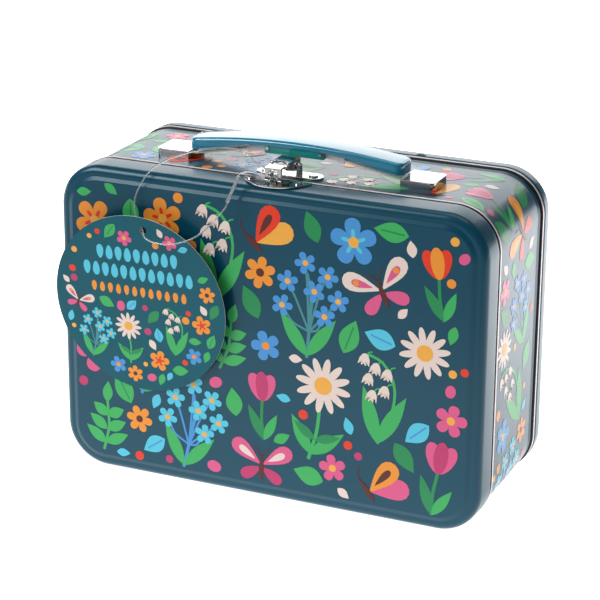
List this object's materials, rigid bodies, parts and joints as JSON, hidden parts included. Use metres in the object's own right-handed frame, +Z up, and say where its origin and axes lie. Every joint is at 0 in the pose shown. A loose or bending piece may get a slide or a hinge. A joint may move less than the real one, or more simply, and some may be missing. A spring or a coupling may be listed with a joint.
{
  "type": "metal lunch box",
  "caption": "Small tin carry case with rounded corners, a front lid hinged at the bottom, a lever latch, a rising handle and a round hang tag.",
  "frame": {"origin": "middle of the face the case stands on", "axes": "+X to the right as seen from the front, +Y towards the back, +Z up; the lid faces -Y"},
  "size_m": [0.2, 0.0949, 0.1555],
  "materials": {
    "lacquered_tin": "glossy lacquer over printed tin",
    "rim_metal": "satin bead",
    "plated_steel": "bright nickel plate",
    "hinge_steel": "plain",
    "strap_steel": "white enamel",
    "grip_plastic": "smooth blue plastic",
    "card": "varnished card",
    "nylon": "clear nylon"
  },
  "bodies": {
    "case": {"body_band": "lacquered_tin", "back_cover": "lacquered_tin", "front_rim": "rim_metal", "rear_rim": "rim_metal", "hinge_body_leaf_left": "hinge_steel", "hinge_body_leaf_right": "hinge_steel", "hinge_pin_left": "hinge_steel", "hinge_pin_right": "hinge_steel", "latch_base": "plated_steel", "latch_pivot_pin": "plated_steel", "latch_base_rivets": "plated_steel", "bracket_left": "plated_steel", "bracket_right": "plated_steel"},
    "lid": {"front_cover": "lacquered_tin", "hinge_lid_leaf_left": "hinge_steel", "hinge_lid_leaf_right": "hinge_steel", "latch_keeper": "plated_steel", "latch_keeper_rivets": "plated_steel", "tag_string": "nylon", "tag_lock": "nylon"},
    "latch_lever": {"latch_lever": "plated_steel", "latch_link_pin": "plated_steel"},
    "latch_link": {"latch_link": "plated_steel"},
    "handle": {"handle_grip": "grip_plastic", "handle_pin_left": "plated_steel", "handle_pin_right": "plated_steel"},
    "arm_left": {"handle_arm_left": "strap_steel"},
    "arm_right": {"handle_arm_right": "strap_steel"},
    "tag": {"swing_tag": "card"}
  },
  "joints": [
    {"name": "lid_hinge", "type": "hinge", "parent": "case", "child": "lid", "pos_m": [0, -0.0265, 0.001], "axis": [1, 0, 0], "range_deg": [0, 90]},
    {"name": "lever_pivot", "type": "hinge", "parent": "case", "child": "latch_lever", "pos_m": [0, -0.0165, 0.1465], "axis": [-1, 0, 0], "range_deg": [0, 75]},
    {"name": "link_pivot", "type": "hinge", "parent": "latch_lever", "child": "latch_link", "pos_m": [0, -0.0263, 0.1489], "axis": [-1, 0, 0], "range_deg": [0, 25]},
    {"name": "handle_lift", "type": "slide", "parent": "case", "child": "handle", "axis": [0, 0, 1], "range_m": [0, 0.008]},
    {"name": "arm_left_pivot", "type": "hinge", "parent": "handle", "child": "arm_left", "pos_m": [-0.0125, -0.0055, 0.1516], "axis": [0, -1, 0], "range_deg": [0, 11.2]},
    {"name": "arm_right_pivot", "type": "hinge", "parent": "handle", "child": "arm_right", "pos_m": [0.0125, -0.0055, 0.1516], "axis": [0, 1, 0], "range_deg": [0, 11.2]},
    {"name": "tag_swing", "type": "hinge", "parent": "lid", "child": "tag", "pos_m": [-0.054, -0.04909, 0.11936], "axis": [-1, 0, 0], "range_deg": [0, 15]}
  ],
  "couplings": [
    {"joint": "arm_left_pivot", "follows": "handle_lift", "rad_per_m": 24.127},
    {"joint": "arm_right_pivot", "follows": "handle_lift", "rad_per_m": 24.127}
  ]
}
